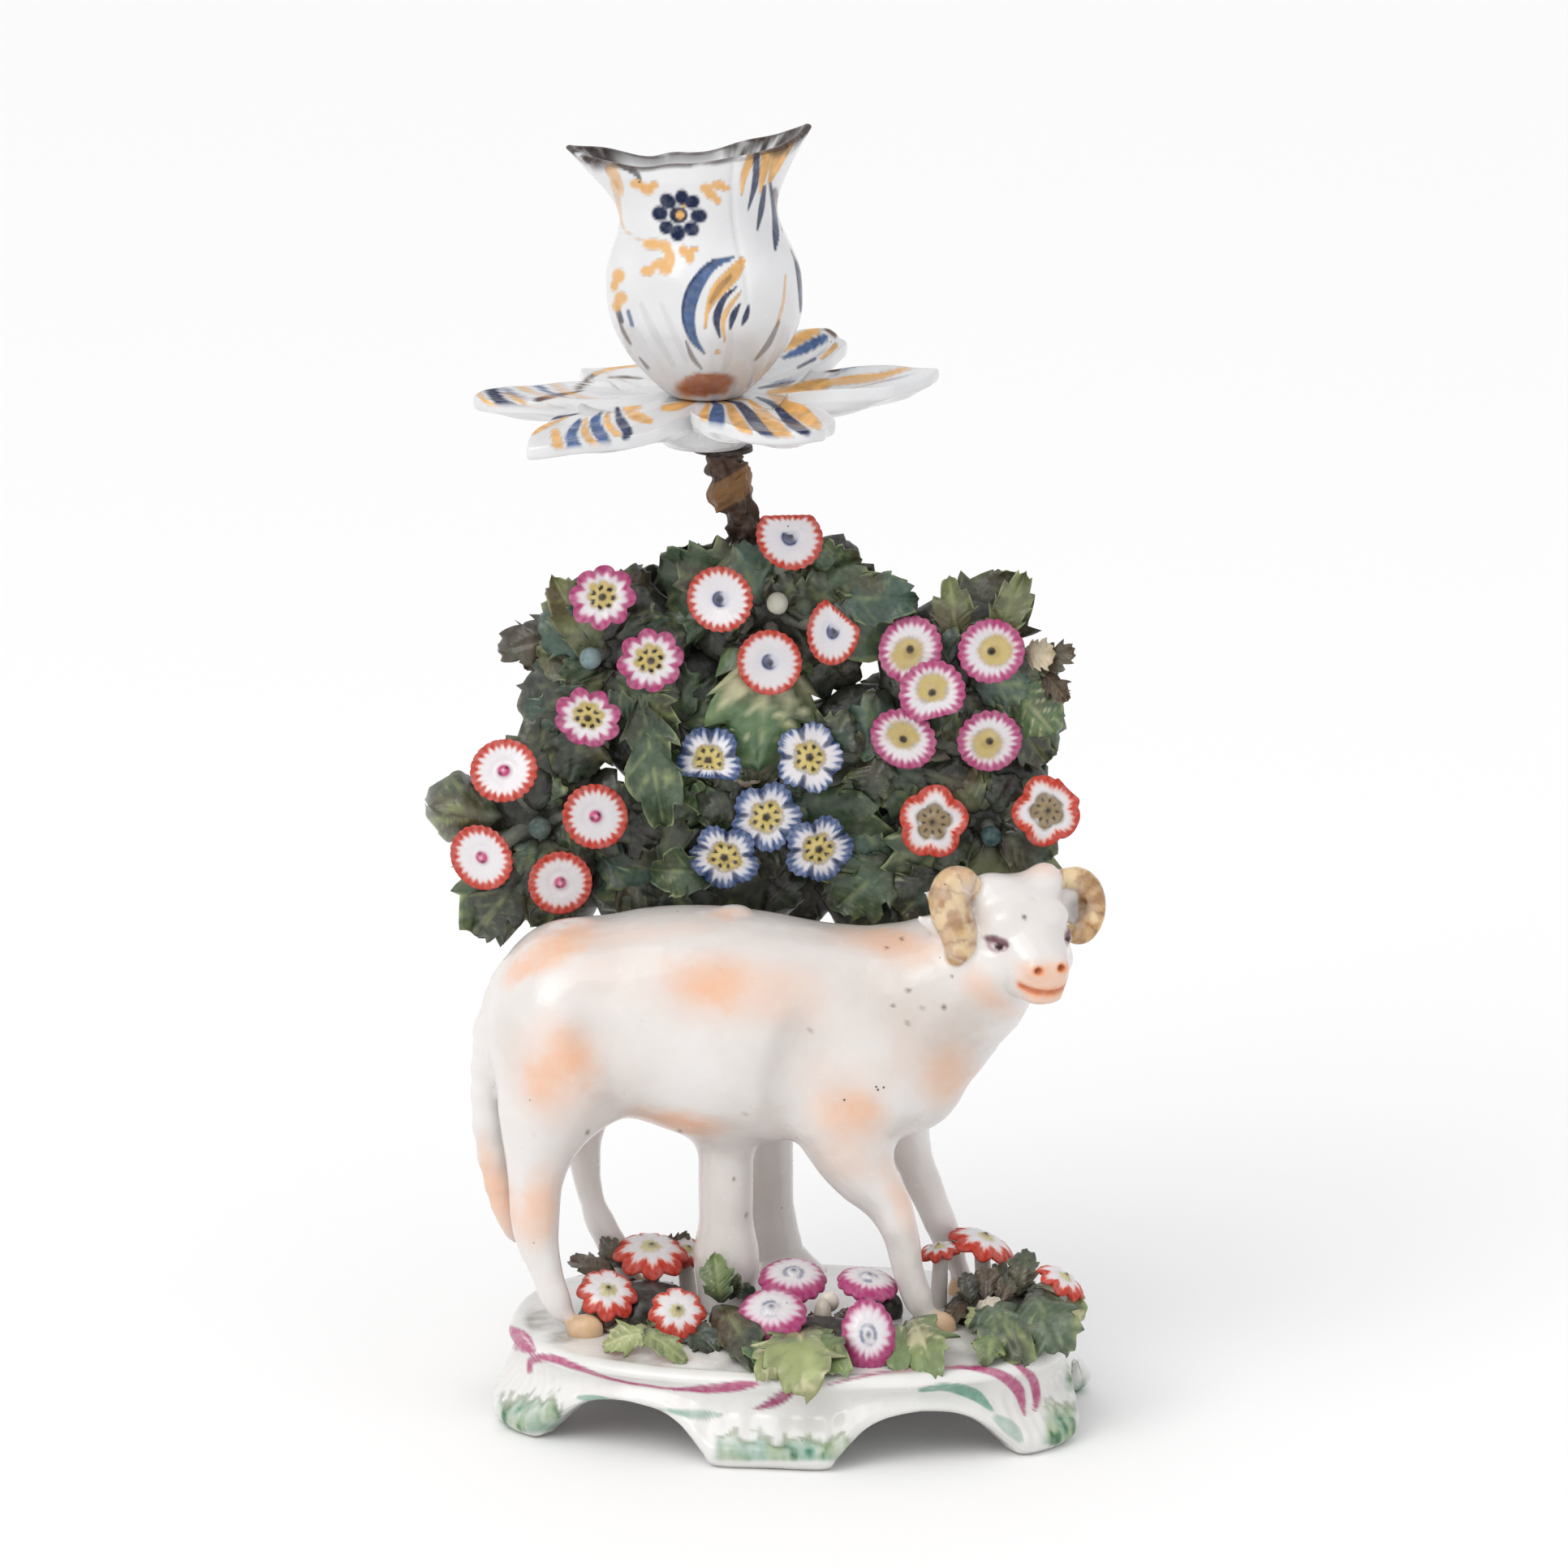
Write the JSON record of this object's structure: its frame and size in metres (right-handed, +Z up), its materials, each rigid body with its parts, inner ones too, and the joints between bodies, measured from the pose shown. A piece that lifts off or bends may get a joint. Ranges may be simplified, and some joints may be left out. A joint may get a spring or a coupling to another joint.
{
  "type": "bocage candlestick",
  "caption": "Porcelain candlestick: a ram on a footed rococo base before flowering leaves, with a knotted stem, lobed drip pan and tulip-shaped candle nozzle.",
  "frame": {"origin": "middle of the whole outline, on the floor", "axes": "+Z up, -Y towards the front, +X towards the ram's head"},
  "size_m": [0.13, 0.0956, 0.2414],
  "materials": {
    "porcelain": "warm white glossy glaze with soft orange enamel patches and small dark pits",
    "painted_porcelain": "bluish white glossy glaze with navy strokes and worn gilding",
    "bark_enamel": "dark brown glossy enamel with an ochre collar",
    "leaf_enamel": "mottled green glossy enamel, paler on ribs and edges",
    "flower_enamel": "white petals with red, pink, orange or blue enamel rims"
  },
  "bodies": {
    "root": {"bocage_group": "porcelain", "candle_branch": "bark_enamel", "drip_pan": "painted_porcelain", "candle_nozzle": "painted_porcelain"}
  },
  "joints": []
}
